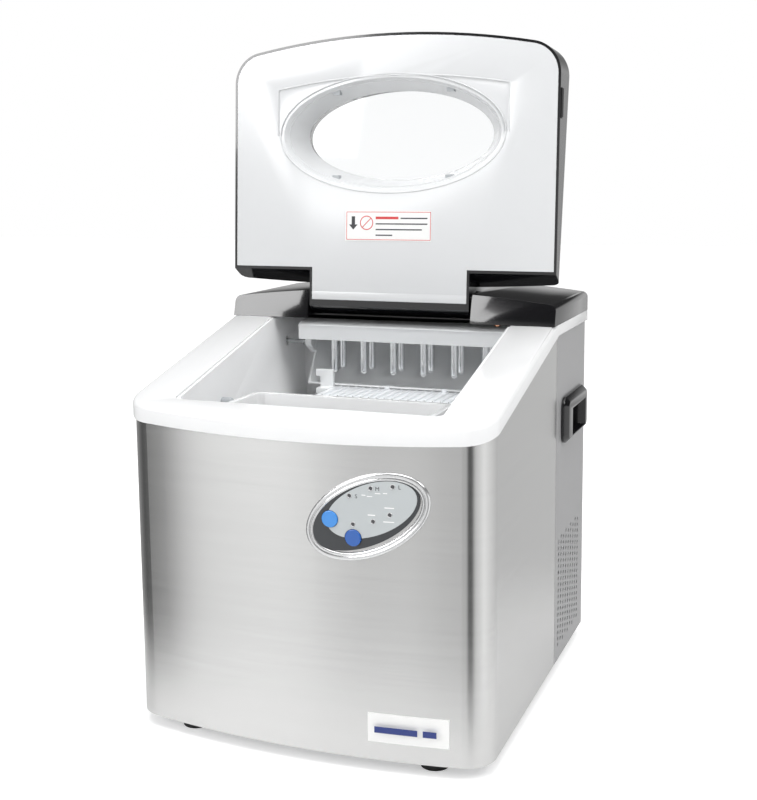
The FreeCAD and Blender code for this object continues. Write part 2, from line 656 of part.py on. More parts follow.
def evaporator_tube():
    """U-tube soldered on the plate, with both ends rising into the deck and down the back."""
    z = EVAPORATOR_Z[1] + 3.05
    front, rear = 50, 66
    return pipe([(96, front, SUCTION_Z), (96, front, z), (-62, front, z), (-62, rear, z), (88, rear, z),
                 (88, rear, 318), (88, 118, 318), (88, 118, 190)], 3.0, 5)


def evaporator_cover():
    y0, y1 = 38.5, 75.5
    outer = box(-86, 108, y0, y1, *COVER_Z)
    corner = [e for e in outer.Edges if e.BoundBox.YLength > 30 and e.CenterOfMass.z > 300]
    outer = outer.makeFillet(6, corner)
    slope_cut = prism([(-200, y0 - 1, COVER_Z[0] + 13), (-200, y0 - 1, 330), (-200, y0 + 12, 330),
                       (-200, y0 + 12, COVER_Z[1])], (400, 0, 0))
    outer = outer.cut(slope_cut)
    rib = box(-82, 108, y0 - 0.8, y0 + 1, COVER_Z[0] + 12.2, COVER_Z[0] + 13.4)
    hollow = box(-84, 106, y0 + 1.8, y1 - 1.8, COVER_Z[0] - 1, COVER_Z[1] - 2).cut(
        prism([(-200, y0, COVER_Z[0] + 11), (-200, y0, 330), (-200, y0 + 14, 330),
               (-200, y0 + 14, COVER_Z[1] - 2)], (400, 0, 0)))
    exits = rod(4, (96, 50, 280), (96, 50, 330)).fuse(rod(4, (88, 66, 280), (88, 66, 330)))
    return outer.fuse(rib).cut(hollow).cut(exits)


SENSOR = (101.0, -66.0, 250.0)
SENSOR_RADIUS = 4.0


def ice_sensors():
    """Two round-nosed sensors on the tub's side walls that see when the basket is full."""
    x, y, z = SENSOR
    right = rod(SENSOR_RADIUS, (x, y, z), (x + 6.6, y, z)).fuse(Part.makeSphere(SENSOR_RADIUS, V(x, y, z)))
    return group([right, mirrored(right)])


# ---- machinery below ---------------------------------------------------------------------------
COMPRESSOR = (-40.0, 62.0)


def compressor():
    x, y = COMPRESSOR
    can = rod(46, (x, y, 36), (x, y, 158))
    can = can.makeFillet(22, [e for e in can.Edges if e.Length > 200 and e.BoundBox.ZLength < 1])
    seam = rod(48, (x, y, 98), (x, y, 102))
    feet = soft_box(x - 58, x + 58, y - 30, y + 30, 30, 33, 12)
    stem = rod(30, (x, y, 33), (x, y, 40))
    return can.fuse(seam).fuse(stem).fuse(feet)


def compressor_mounts():
    x, y = COMPRESSOR
    return group([tube(8, 3, (x + sx * 48, y + sy * 20, FOOT_HEIGHT + 3), (x + sx * 48, y + sy * 20, 30))
                  for sx in (-1, 1) for sy in (-1, 1)])


def condenser():
    """Finned block behind the side vents."""
    core = box(127, 134, 66, 142, 30, 162)
    fins = [box(121, 139, 64, 144, z, z + 1.0) for z in range(30, 162, 4)]
    return core.multiFuse(fins)


FAN = (104.0, 88.0)


def fan_shroud():
    plate = box(112, 116, 60, 148, FOOT_HEIGHT + 3, 164)
    ring = rod(41, (104, *FAN), (114, *FAN))
    return plate.fuse(ring).cut(rod(39, (100, *FAN), (120, *FAN)))


def fan_blade():
    hub = rod(10, (96, *FAN), (109, *FAN))
    wheel = hub
    for i in range(5):
        blade = box(101.6, 103.2, FAN[0] - 11, FAN[0] + 11, FAN[1] + 8, FAN[1] + 36)
        blade.rotate(V(102, FAN[0], FAN[1]), Z_AXIS, 22)
        blade.rotate(V(102, FAN[0], FAN[1]), X_AXIS, 72 * i)
        wheel = wheel.fuse(blade)
    wheel = wheel.common(rod(37, (90, *FAN), (112, *FAN)))
    return wheel.cut(rod(2.05, (90, *FAN), (106, *FAN)))


def fan_motor():
    body = rod(19, (66, *FAN), (92, *FAN))
    stand = box(70, 74, FAN[0] - 14, FAN[0] + 14, FOOT_HEIGHT + 3, FAN[1] - 10)
    foot = box(60, 84, FAN[0] - 14, FAN[0] + 14, FOOT_HEIGHT + 3, FOOT_HEIGHT + 6)
    shaft = rod(2.0, (90, *FAN), (105, *FAN))
    return body.fuse(stand).fuse(foot).fuse(shaft)


def gas_lines():
    """Copper lines: compressor to condenser, and the hot-gas line up to the evaporator."""
    x, y = COMPRESSOR
    discharge = pipe([(x + 20, y + 20, 158), (x + 20, y + 20, 185),
                      (130, y + 20, 185), (130, y + 20, 163)], 2.5, 8)
    back = 128
    suction = pipe([(96, 50, SUCTION_Z + 0.05), (96, 50, 322), (96, back, 322), (96, back, 212),
                    (x - 10, back, 212), (x - 10, back, 176), (x - 10, y + 10, 176), (x - 10, y + 10, 158)],
                   2.5, 6)
    return group([discharge, suction])


def dryer():
    return rod(8, (88, 118, 130), (88, 118, 189.8)).fuse(rod(3, (88, 118, 118), (88, 118, 131)))


def solenoid_valve():
    return box(8, 34, 108, 134, 120, 148).fuse(rod(8, (21, 121, 104), (21, 121, 164)))


PUMP = (-60.0, -60.0)


def water_pump():
    x, y = PUMP
    body = rod(20, (x, y, FOOT_HEIGHT + 3.2), (x, y, 30)).cut(rod(16, (x, y, FOOT_HEIGHT + 6), (x, y, 27)))
    motor = rod(15, (x, y, 30), (x, y, 50)).cut(rod(1.55, (x, y, 25), (x, y, 46)))
    body = body.cut(rod(1.55, (x, y, 25), (x, y, 46)))
    outlet = tube(4.5, 3, (x - 34, y, 22), (x - 17, y, 22))
    return body.fuse(motor).fuse(outlet)


def pump_impeller():
    x, y = PUMP
    disc = rod(15, (x, y, 17), (x, y, 19))
    vanes = []
    for i in range(6):
        vane = box(x + 3, x + 14.5, y - 0.7, y + 0.7, 19, 25)
        vane.rotate(V(x, y, 0), Z_AXIS, 60 * i)
        vanes.append(vane)
    return disc.multiFuse(vanes).fuse(rod(1.5, (x, y, 17), (x, y, 45)))


def water_hose():
    x, y = PUMP
    return pipe([(x - 34.2, y, 22), (-128, y, 22), (-128, PIVOT_Y, 22), (-128, PIVOT_Y, PIVOT_Z),
                 (-113.5, PIVOT_Y, PIVOT_Z)], 3.5, 9)


def drain_pipe():
    x, z = DRAIN_PLACE
    return tube(6, 4.5, (x, SHELF_Y + 0.2, z), (x, 156, z))


def drain_cap():
    x, z = DRAIN_PLACE
    cap = rod(10.5, (x, 158, z), (x, 165.5, z)).fuse(rod(4.2, (x, 146, z), (x, 158, z)))
    grip = box(x - 1.5, x + 1.5, 162, 170, z - 8, z + 8)
    slots = rod(9, (x, 163, z), (x, 170, z)).cut(grip)
    return cap.cut(slots)


def cord_gland():
    x, z = GLAND
    flange = rod(9.5, (x, BACK_Y, z), (x, BACK_Y + 2, z))
    neck = rod(6.8, (x, BACK_Y - 12, z), (x, BACK_Y, z))
    return flange.fuse(neck).cut(rod(3.8, (x, BACK_Y - 15, z), (x, BACK_Y + 5, z)))


def back_screws():
    screws = []
    for x, z in SCREW_PLACES:
        head = rod(3.6, (x, BACK_Y, z), (x, BACK_Y + 1.6, z))
        screws.append(head.fuse(rod(SCREW_RADIUS, (x, BACK_Y - 6, z), (x, BACK_Y, z))))
    return group(screws)


# ---- controls ----------------------------------------------------------------------------------
BUTTONS = {"start_button": (31.6, 190.4), "select_button": (49.3, 177.8)}
BUTTON_RADIUS = 6.2
LAMP_RADIUS, LAMP_HOLE = 1.3, 1.4
LAMPS = [(46.9, 208.8), (62.8, 215.2), (79.1, 217.3), (49.4, 187.9), (64.5, 190.9), (76.8, 196.6)]
LABEL = (62.8, 199.2, 35.7, 18.7, 22.2)
BOARD_Y = (-151.0, -149.4)
BUTTON_TRAVEL = 1.2


def skin_band(outer, inner):
    """A sheet that follows the bowed front between two offsets."""
    return bow_cylinder(outer, 0, 400).cut(bow_cylinder(inner, -1, 401))


def button_holes(radius):
    return group([rod(radius, (x, FRONT_Y - 10, z), (x, FRONT_Y + 30, z)) for x, z in BUTTONS.values()])


def lamp_holes(radius):
    return group([rod(radius, (x, FRONT_Y - 10, z), (x, FRONT_Y + 30, z)) for x, z in LAMPS])


def control_bezel():
    ring = oval(*PANEL_CENTRE, *BEZEL).cut(oval(*FACE_CENTRE, *FACE))
    return ring.common(skin_band(1.8, 0.0))


def control_face():
    plate = oval(*FACE_CENTRE, FACE[0] - 0.05, FACE[1] - 0.05, FACE[2]).common(skin_band(1.2, 0.0))
    boss = oval(*FACE_CENTRE, FACE[0] - 4.2, FACE[1] - 4.2, FACE[2]).common(skin_band(0.1, -3.0))
    return plate.fuse(boss).cut(button_holes(BUTTON_RADIUS + TINY)).cut(lamp_holes(LAMP_HOLE))


def control_label():
    plate = oval(*LABEL).common(skin_band(1.5, 1.2))
    return plate.cut(button_holes(BUTTON_RADIUS + TINY)).cut(lamp_holes(LAMP_HOLE))


def button(place):
    x, z = place
    y_front = bow_y(x) - 2.6
    cap = rod(BUTTON_RADIUS, (x, y_front, z), (x, -158.0, z))
    cap = cap.makeFillet(0.8, [e for e in cap.Edges if abs(e.CenterOfMass.y - y_front) < 0.1])
    stem = rod(2.5, (x, -158.0, z), (x, BOARD_Y[0] - 3.0 - BUTTON_TRAVEL - 0.1, z))
    return cap.fuse(stem)


def indicator_lamps():
    return group([rod(LAMP_RADIUS, (x, bow_y(x) - 1.7, z), (x, BOARD_Y[0], z)) for x, z in LAMPS])


def control_board():
    board = box(20, 100, *BOARD_Y, 165, 230)
    switches = [box(x - 3, x + 3, BOARD_Y[0] - 3, BOARD_Y[0], z - 3, z + 3) for x, z in BUTTONS.values()]
    return board.multiFuse(switches)


def badge_plate():
    return box(58.5, 118.8, FRONT_Y - 5, FRONT_Y + 30, 24.4, 46.4).common(skin_band(0.8, 0.0))


# ---- handles -----------------------------------------------------------------------------------
GRIP_OUT = 6.5
GRIP_CHAMFER = 4.0
HANDLE_CORNER = 9.0
GRIP_CUP = (88.0, 142.0, 208.0, 232.0)


def side_handle_right():
    """Rounded bezel with a chamfered rim round a finger pocket."""
    bezel = box(HALF_W, HALF_W + GRIP_OUT, *HANDLE_Y, *HANDLE_Z)
    bezel = bezel.makeFillet(HANDLE_CORNER, [e for e in bezel.Edges if e.BoundBox.XLength > GRIP_OUT - 0.1
                                             and e.BoundBox.YLength < 1 and e.BoundBox.ZLength < 1])
    rim = [e for e in bezel.Edges if e.BoundBox.XMin > HALF_W + GRIP_OUT - 0.1]
    bezel = bezel.makeChamfer(GRIP_CHAMFER, rim)
    y0, y1, z0, z1 = GRIP_CUP
    cup = box(HALF_W - 16, HALF_W + 1, y0 - 2, y1 + 2, z0 - 2, z1 + 2)
    pocket = box(HALF_W - 14, HALF_W + 20, y0, y1, z0, z1)
    return bezel.fuse(cup).cut(pocket)


parts = {
    "base_pan": base_pan(),
    "rubber_feet": rubber_feet(),
    "front_wrap": front_wrap(),
    "side_panel_right": side_panel_right(),
    "side_panel_left": mirrored(side_panel_right()),
    "back_panel": back_panel(),
    "top_frame": top_frame(),
    "rear_deck": rear_deck(),
    "lid_shell": lid_shell(),
    "lid_liner": lid_liner(),
    "window_pane": window_pane(),
    "window_clips": window_clips(),
    "hinge_pins": hinge_pins(),
    "safety_label": safety_label(),
    "inner_tub": inner_tub(),
    "insulation": insulation(),
    "ice_basket": ice_basket(),
    "rake_plate": rake_plate(),
    "rake_bracket": rake_bracket(),
    "water_tray": water_tray(),
    "inlet_pivot": inlet_pivot(),
    "tray_motor": tray_motor(),
    "motor_shaft": motor_shaft(),
    "evaporator_plate": evaporator_plate(),
    "evaporator_fingers": evaporator_fingers(),
    "evaporator_tube": evaporator_tube(),
    "evaporator_cover": evaporator_cover(),
    "ice_sensors": ice_sensors(),
    "compressor": compressor(),
    "compressor_mounts": compressor_mounts(),
    "condenser": condenser(),
    "fan_shroud": fan_shroud(),
    "fan_blade": fan_blade(),
    "fan_motor": fan_motor(),
    "gas_lines": gas_lines(),
    "dryer": dryer(),
    "solenoid_valve": solenoid_valve(),
    "water_pump": water_pump(),
    "pump_impeller": pump_impeller(),
    "water_hose": water_hose(),
    "drain_pipe": drain_pipe(),
    "drain_cap": drain_cap(),
    "cord_gland": cord_gland(),
    "back_screws": back_screws(),
    "control_bezel": control_bezel(),
    "control_face": control_face(),
    "control_label": control_label(),
    "start_button": button(BUTTONS["start_button"]),
    "select_button": button(BUTTONS["select_button"]),
    "indicator_lamps": indicator_lamps(),
    "control_board": control_board(),
    "badge_plate": badge_plate(),
    "side_handle_right": side_handle_right(),
    "side_handle_left": mirrored(side_handle_right()),
}

os.makedirs("parts", exist_ok=True)
for name, shape in parts.items():
    shape.exportStep(f"parts/{name}.step")
    print(f"{name:20s} solids {len(shape.Solids):3d} valid {shape.isValid()} volume {shape.Volume / 1000:9.2f} cm3")
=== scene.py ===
"""Looks of the counter-top ice maker: finishes for every part, rounded mouldings, camera and light."""

import json
import math

import bmesh
import bpy
from mathutils import Matrix, Vector


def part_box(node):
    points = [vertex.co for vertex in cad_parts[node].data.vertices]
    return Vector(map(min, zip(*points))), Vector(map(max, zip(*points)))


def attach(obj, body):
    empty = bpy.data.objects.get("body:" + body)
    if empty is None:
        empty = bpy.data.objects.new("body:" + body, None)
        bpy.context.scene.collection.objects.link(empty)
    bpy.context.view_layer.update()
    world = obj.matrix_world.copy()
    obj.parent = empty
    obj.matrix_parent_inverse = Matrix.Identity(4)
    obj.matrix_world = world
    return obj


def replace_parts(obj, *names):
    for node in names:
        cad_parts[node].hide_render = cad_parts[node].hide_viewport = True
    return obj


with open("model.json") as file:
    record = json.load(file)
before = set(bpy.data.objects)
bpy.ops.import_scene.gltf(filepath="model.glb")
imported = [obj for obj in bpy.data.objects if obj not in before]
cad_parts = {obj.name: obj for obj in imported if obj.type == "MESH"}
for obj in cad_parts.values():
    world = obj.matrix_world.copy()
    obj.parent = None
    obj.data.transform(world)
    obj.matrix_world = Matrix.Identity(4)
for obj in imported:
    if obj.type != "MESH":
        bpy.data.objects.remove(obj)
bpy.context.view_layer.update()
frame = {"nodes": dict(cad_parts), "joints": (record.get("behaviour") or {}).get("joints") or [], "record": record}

NODES = frame["nodes"]
BODY_OF = {node: body for body, members in frame["record"]["behaviour"]["bodies"].items() for node in members}
MM = 0.001


# ---- shader helpers ----------------------------------------------------------------------------
def add_node(tree, kind, **settings):
    """A node with its settings; a key that is an input's name sets that input's value."""
    node = tree.nodes.new(kind)
    for key, value in settings.items():
        if hasattr(node, key):
            setattr(node, key, value)
        else:
            node.inputs[key.replace("_", " ")].default_value = value
    return node


def new_group(name, inputs, outputs):
    """An empty shader node group with float, colour or vector sockets."""
    kinds = {"f": "NodeSocketFloat", "c": "NodeSocketColor", "v": "NodeSocketVector"}
    group = bpy.data.node_groups.new(name, "ShaderNodeTree")
    for label, (kind, value) in inputs.items():
        socket = group.interface.new_socket(label, in_out="INPUT", socket_type=kinds[kind])
        if value is not None:
            socket.default_value = value
    for label, kind in outputs.items():
        group.interface.new_socket(label, in_out="OUTPUT", socket_type=kinds[kind])
    return group, group.nodes.new("NodeGroupInput"), group.nodes.new("NodeGroupOutput")


def scaled_noise(tree, coordinates, stretch, scale, detail=2.0):
    """Noise whose coordinates are stretched, so that it can run along one direction."""
    mapping = add_node(tree, "ShaderNodeMapping")
    mapping.inputs["Scale"].default_value = stretch
    tree.links.new(coordinates, mapping.inputs["Vector"])
    noise = add_node(tree, "ShaderNodeTexNoise")
    noise.inputs["Scale"].default_value = scale
    noise.inputs["Detail"].default_value = detail
    tree.links.new(mapping.outputs["Vector"], noise.inputs["Vector"])
    return noise.outputs["Fac"]


def spread(tree, value, low, high):
    """Maps 0..1 to low..high; low and high are sockets or numbers."""
    ranger = add_node(tree, "ShaderNodeMapRange")
    tree.links.new(value, ranger.inputs["Value"])
    for socket, bound in (("To Min", low), ("To Max", high)):
        if isinstance(bound, (int, float)):
            ranger.inputs[socket].default_value = bound
        else:
            tree.links.new(bound, ranger.inputs[socket])
    return ranger.outputs["Result"]


def math_node(tree, operation, a, b):
    """The result socket of one sum; a and b are sockets or numbers."""
    node = add_node(tree, "ShaderNodeMath", operation=operation)
    for socket, value in zip(node.inputs, (a, b)):
        if isinstance(value, (int, float)):
            socket.default_value = value
        else:
            tree.links.new(value, socket)
    return node.outputs[0]


def build_handling_wear():
    """Faint smears and dust: a colour a little darker or lighter, a roughness, and a bump height."""
    group, source, sink = new_group(
        "handling wear",
        {"Colour": ("c", (0.8, 0.8, 0.8, 1.0)), "Tint": ("f", 0.04), "Roughness": ("f", 0.3),
         "Smear": ("f", 0.06), "Grain Scale": ("f", 900.0), "Grain Height": ("f", 0.15)},
        {"Colour": "c", "Roughness": "f", "Height": "f"})
    place = add_node(group, "ShaderNodeTexCoord").outputs["Object"]
    broad = scaled_noise(group, place, (1, 1, 1), 14.0, 4.0)
    fine = scaled_noise(group, place, (1, 1, 1), 90.0, 3.0)
    mottle = math_node(group, "SUBTRACT", math_node(group, "MULTIPLY", broad, fine), 0.25)
    shade = math_node(group, "ADD", 1.0, math_node(group, "MULTIPLY", mottle, source.outputs["Tint"]))
    toned = add_node(group, "ShaderNodeVectorMath", operation="SCALE")
    group.links.new(source.outputs["Colour"], toned.inputs[0])
    group.links.new(shade, toned.inputs["Scale"])
    group.links.new(toned.outputs[0], sink.inputs["Colour"])
    smear = math_node(group, "MULTIPLY", math_node(group, "SUBTRACT", broad, 0.5), source.outputs["Smear"])
    group.links.new(math_node(group, "ADD", source.outputs["Roughness"], smear), sink.inputs["Roughness"])
    grain = add_node(group, "ShaderNodeTexNoise")
    group.links.new(place, grain.inputs["Vector"])
    group.links.new(source.outputs["Grain Scale"], grain.inputs["Scale"])
    group.links.new(math_node(group, "MULTIPLY", grain.outputs["Fac"], source.outputs["Grain Height"]),
                    sink.inputs["Height"])
    return group


def build_brushing():
    """Long fine scratches from a brushing belt, running along X and round the corners."""
    group, source, sink = new_group(
        "brushing",
        {"Colour": ("c", (0.7, 0.7, 0.7, 1.0)), "Contrast": ("f", 0.12), "Roughness": ("f", 0.3),
         "Roughness Spread": ("f", 0.1)},
        {"Colour": "c", "Roughness": "f", "Height": "f"})
    place = add_node(group, "ShaderNodeTexCoord").outputs["Object"]
    lines = scaled_noise(group, place, (0.012, 0.012, 1.0), 1500.0, 3.0)
    bands = scaled_noise(group, place, (0.02, 0.02, 1.0), 260.0, 2.0)
    grain = math_node(group, "MULTIPLY", math_node(group, "ADD", lines, bands), 0.5)
    level = math_node(group, "MULTIPLY", math_node(group, "SUBTRACT", grain, 0.5), source.outputs["Contrast"])
    toned = add_node(group, "ShaderNodeVectorMath", operation="SCALE")
    group.links.new(source.outputs["Colour"], toned.inputs[0])
    group.links.new(math_node(group, "ADD", 1.0, level), toned.inputs["Scale"])
    group.links.new(toned.outputs[0], sink.inputs["Colour"])
    rough = math_node(group, "MULTIPLY", math_node(group, "SUBTRACT", grain, 0.5),
                      source.outputs["Roughness Spread"])
    group.links.new(math_node(group, "ADD", source.outputs["Roughness"], rough), sink.inputs["Roughness"])
    group.links.new(lines, sink.inputs["Height"])
    return group


def run_tangent_round(material):
    """Turns the brushed gloss so that it spreads up and down, across the brushing lines."""
    tree = material.node_tree
    around = add_node(tree, "ShaderNodeTangent", direction_type="RADIAL", axis="Z")
    tree.links.new(around.outputs["Tangent"], tree.nodes["Principled BSDF"].inputs["Tangent"])


WEAR = build_handling_wear()
BRUSHING = build_brushing()


def finish(name, colour, roughness, group=WEAR, bump=0.02, bump_distance=0.0002, values=(), **shader):
    """A material: one shared effect group feeding a Principled BSDF."""
    material = bpy.data.materials.new(name)
    material.use_nodes = True
    tree = material.node_tree
    surface = tree.nodes["Principled BSDF"]
    for key, value in shader.items():
        surface.inputs[key.replace("_", " ")].default_value = value
    effect = tree.nodes.new("ShaderNodeGroup")
    effect.node_tree = group
    effect.inputs["Colour"].default_value = (*colour, 1.0)
    effect.inputs["Roughness"].default_value = roughness
    for key, value in dict(values).items():
        effect.inputs[key].default_value = value
    tree.links.new(effect.outputs["Colour"], surface.inputs["Base Color"])
    tree.links.new(effect.outputs["Roughness"], surface.inputs["Roughness"])
    if bump:
        relief = add_node(tree, "ShaderNodeBump")
        relief.inputs["Strength"].default_value = bump
        relief.inputs["Distance"].default_value = bump_distance
        tree.links.new(effect.outputs["Height"], relief.inputs["Height"])
        tree.links.new(relief.outputs["Normal"], surface.inputs["Normal"])
    material.diffuse_color = (*colour, 1.0)
    return material


STEEL = finish("brushed steel", (0.64, 0.64, 0.635), 0.22, BRUSHING, 0.05, 0.0001, Metallic=1.0,
               Anisotropic=0.8, Anisotropic_Rotation=0.25)
run_tangent_round(STEEL)
GREY_COAT = finish("grey coated sheet", (0.40, 0.40, 0.405), 0.42, WEAR, 0.05, 0.0002, Metallic=0.35,
                   values={"Grain Scale": 700.0})
WHITE_GLOSS = finish("white gloss moulding", (0.86, 0.865, 0.87), 0.16, bump=0.01, Coat_Weight=0.3,
                     Coat_Roughness=0.06, values={"Tint": 0.02})
# The lid lining is white plastic like the other white mouldings, made darker: painted shade for the lesser light
# on its upright, forward-facing face.
WHITE_LINING_PAINTED_SHADE = finish("white lid lining with painted shade", (0.69, 0.70, 0.71), 0.2, bump=0.01, values={"Tint": 0.02})
WHITE_TUB = finish("white tub moulding", (0.95, 0.955, 0.96), 0.24, bump=0.01, values={"Tint": 0.03})
BLACK_GLOSS = finish("black gloss moulding", (0.006, 0.006, 0.007), 0.13, bump=0.008, Coat_Weight=0.5,
                     Coat_Roughness=0.05, values={"Smear": 0.05})
BLACK_MATT = finish("black matt moulding", (0.015, 0.015, 0.016), 0.5, bump=0.15)
RUBBER = finish("foot rubber", (0.018, 0.018, 0.018), 0.72, bump=0.3)
GALVANISED = finish("zinc sheet", (0.42, 0.43, 0.44), 0.38, bump=0.05, Metallic=0.9,
                    values={"Tint": 0.5, "Smear": 0.3})
CHROME = finish("polished plating", (0.83, 0.84, 0.85), 0.07, bump=0.0, Metallic=1.0, values={"Smear": 0.04})
ZINC_BOLT = finish("zinc bolt", (0.62, 0.62, 0.61), 0.25, bump=0.02, Metallic=1.0)
ALUMINIUM = finish("bare aluminium", (0.72, 0.73, 0.74), 0.33, BRUSHING, 0.03, 0.0001, Metallic=1.0)
COPPER = finish("drawn copper", (0.78, 0.40, 0.24), 0.26, bump=0.02, Metallic=1.0,
                values={"Tint": 0.6, "Smear": 0.3})
BLACK_ENAMEL = finish("black enamel", (0.012, 0.012, 0.013), 0.33, bump=0.1, values={"Grain Scale": 500.0})
GREY_PLASTIC = finish("grey clip plastic", (0.42, 0.44, 0.46), 0.3, bump=0.02)
FOAM = finish("pale foam", (0.80, 0.74, 0.60), 0.85, bump=0.6, bump_distance=0.0006,
              values={"Grain Scale": 380.0, "Grain Height": 0.8, "Tint": 0.25})
SILVER = finish("silvered moulding", (0.74, 0.745, 0.75), 0.16, bump=0.01, Metallic=0.75)
FACE_BLACK = finish("dark panel face", (0.035, 0.038, 0.042), 0.2, bump=0.01, Coat_Weight=0.4)
FACE_GREY = finish("grey panel film", (0.50, 0.53, 0.54), 0.3, bump=0.03)
BLUE_DARK = finish("blue button", (0.02, 0.11, 0.42), 0.18, bump=0.01, Coat_Weight=0.5)
BLUE_LIGHT = finish("bright blue button", (0.05, 0.27, 0.72), 0.18, bump=0.01, Coat_Weight=0.5)
LAMP = finish("lamp lens", (0.05, 0.05, 0.055), 0.12, bump=0.0, Coat_Weight=0.5)
BOARD = finish("green circuit board", (0.03, 0.17, 0.07), 0.35, bump=0.05)
SILICONE = finish("milky hose", (0.78, 0.80, 0.80), 0.35, bump=0.02, Transmission_Weight=0.25)
WHITE_FILM = finish("white label film", (0.86, 0.86, 0.85), 0.32, bump=0.01)
WHITE_SOFT = finish("white satin moulding", (0.78, 0.80, 0.82), 0.3, bump=0.02)


def see_through(name, colour, roughness, weight):
    """A clear or smoky moulding."""
    return finish(name, colour, roughness, bump=0.0, Transmission_Weight=weight, IOR=1.46,
                  values={"Tint": 0.02, "Smear": 0.03})


CLEAR = see_through("clear moulding", (0.97, 0.98, 0.985), 0.03, 1.0)
SMOKE = see_through("smoky grey moulding", (0.80, 0.815, 0.825), 0.16, 0.1)

FINISHES = {
    "steel": STEEL, "grey_panel": GREY_COAT, "white_gloss": WHITE_GLOSS, "white_tub": WHITE_TUB,
    "black_gloss": BLACK_GLOSS, "rubber": RUBBER, "galvanised": GALVANISED, "clear": CLEAR,
    "grey_clip": GREY_PLASTIC, "chrome": CHROME, "label": WHITE_FILM, "foam": FOAM, "grey_smoke": SMOKE,
    "aluminium": ALUMINIUM, "copper": COPPER, "black_paint": BLACK_ENAMEL, "black_matte": BLACK_MATT,
    "white_matte": WHITE_SOFT, "silver_plastic": SILVER, "face_black": FACE_BLACK, "face_grey": FACE_GREY,
    "blue": BLUE_DARK, "lamp": LAMP, "board": BOARD, "steel_zinc": ZINC_BOLT, "silicone": SILICONE,
}
SLOT_OF = {part["node"]: part["material_slot"] for part in frame["record"]["subparts"]}


def dress(obj, material):
    """Gives the whole object one material."""
    obj.data.materials.clear()
    obj.data.materials.append(material)
    for face in obj.data.polygons:
        face.material_index = 0


for name, obj in NODES.items():
    dress(obj, FINISHES[SLOT_OF[name]])
dress(NODES["start_button"], BLUE_LIGHT)
# The lining gets the darker white, which is painted shade.
dress(NODES["lid_liner"], WHITE_LINING_PAINTED_SHADE)


# ---- rounded mouldings -------------------------------------------------------------------------
def smooth_by_angle(mesh, degrees):
    """Smooth faces with sharp edges over the given angle."""
    for face in mesh.polygons:
        face.use_smooth = True
    mesh.set_sharp_from_angle(angle=math.radians(degrees))


def rounded(node, width, segments=3, angle=35.0):
    """Replaces a CAD node by the same form with every sharp edge rounded over."""
    source = NODES[node]
    work = bmesh.new()
    work.from_mesh(source.data)
    bmesh.ops.remove_doubles(work, verts=work.verts, dist=2e-6)
    bmesh.ops.dissolve_degenerate(work, edges=work.edges, dist=1e-6)
    bmesh.ops.dissolve_limit(work, angle_limit=math.radians(0.6), verts=work.verts, edges=work.edges)
    mesh = bpy.data.meshes.new(node + "_look")
    work.to_mesh(mesh)
    work.free()
    piece = bpy.data.objects.new(node + "_look", mesh)
    bpy.context.scene.collection.objects.link(piece)
    bevel = piece.modifiers.new("edge", "BEVEL")
    bevel.width = width
    bevel.segments = segments
    bevel.limit_method = "ANGLE"
    bevel.angle_limit = math.radians(angle)
    graph = bpy.context.evaluated_depsgraph_get()
    solid = bpy.data.meshes.new_from_object(piece.evaluated_get(graph))
    piece.modifiers.clear()
    piece.data = solid
    smooth_by_angle(solid, 40.0)
    dress(piece, source.data.materials[0])
    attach(piece, BODY_OF[node])
    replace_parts(piece, node)
    return piece


ROUNDED = {
    "top_frame": 0.0010, "lid_liner": 0.0006, "rear_deck": 0.0008, "ice_basket": 0.0007,
    "evaporator_cover": 0.0005, "side_handle_right": 0.0005, "side_handle_left": 0.0005,
    "inner_tub": 0.0008, "water_tray": 0.0004, "rake_plate": 0.0003, "rake_bracket": 0.0004,
}
for name, width in ROUNDED.items():
    rounded(name, width)


# ---- small made pieces -------------------------------------------------------------------------
def new_piece(name, mesh, material, body):
    """A finished piece: its place is in its mesh, and it rides on a body."""
    piece = bpy.data.objects.new(name, mesh)
    bpy.context.scene.collection.objects.link(piece)
    dress(piece, material)
    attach(piece, body)
    return piece


def mesh_of(work, name):
    """Turns a bmesh into a mesh with outward normals."""
    mesh = bpy.data.meshes.new(name)
    bmesh.ops.recalc_face_normals(work, faces=work.faces)
    work.to_mesh(mesh)
    work.free()
    return mesh


FRONT_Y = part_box("front_wrap")[0].y
HALF_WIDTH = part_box("front_wrap")[1].x
FRONT_BOW = 15.3 * MM
BOW_RADIUS = (HALF_WIDTH ** 2 + FRONT_BOW ** 2) / (2 * FRONT_BOW)


def front_skin(x, stand_off=0.0):
    """Y of the bowed front panel at x, moved outwards by stand_off."""
    return FRONT_Y + BOW_RADIUS - math.sqrt((BOW_RADIUS + stand_off) ** 2 - x ** 2)


def oval_moulding(name, centre, size, degrees, profile, material, body, sides=160):
    """Sweeps a closed (outward, stand-off) profile round a tilted oval that lies on the bowed front."""
    work = bmesh.new()
    turn = math.radians(degrees)
    rings = []
    for i in range(sides):
        angle = 2 * math.pi * i / sides
        ring = []
        for out, proud in profile:
            u = (size[0] + out) * math.cos(angle)
            w = (size[1] + out) * math.sin(angle)
            x = centre[0] + u * math.cos(turn) - w * math.sin(turn)
            z = centre[1] + u * math.sin(turn) + w * math.cos(turn)
            ring.append(work.verts.new((x, front_skin(x, proud), z)))
        rings.append(ring)
    count = len(profile)
    for i in range(sides):
        near, far = rings[i], rings[(i + 1) % sides]
        for j in range(count):
            work.faces.new((near[j], near[(j + 1) % count], far[(j + 1) % count], far[j]))
    mesh = mesh_of(work, name)
    smooth_by_angle(mesh, 50.0)
    return new_piece(name, mesh, material, body)


def on_front(mesh, stand_off):
    """Bends a flat (x, z) mesh with its thickness along y on to the bowed front."""
    for vertex in mesh.vertices:
        vertex.co.y += front_skin(vertex.co.x, stand_off)


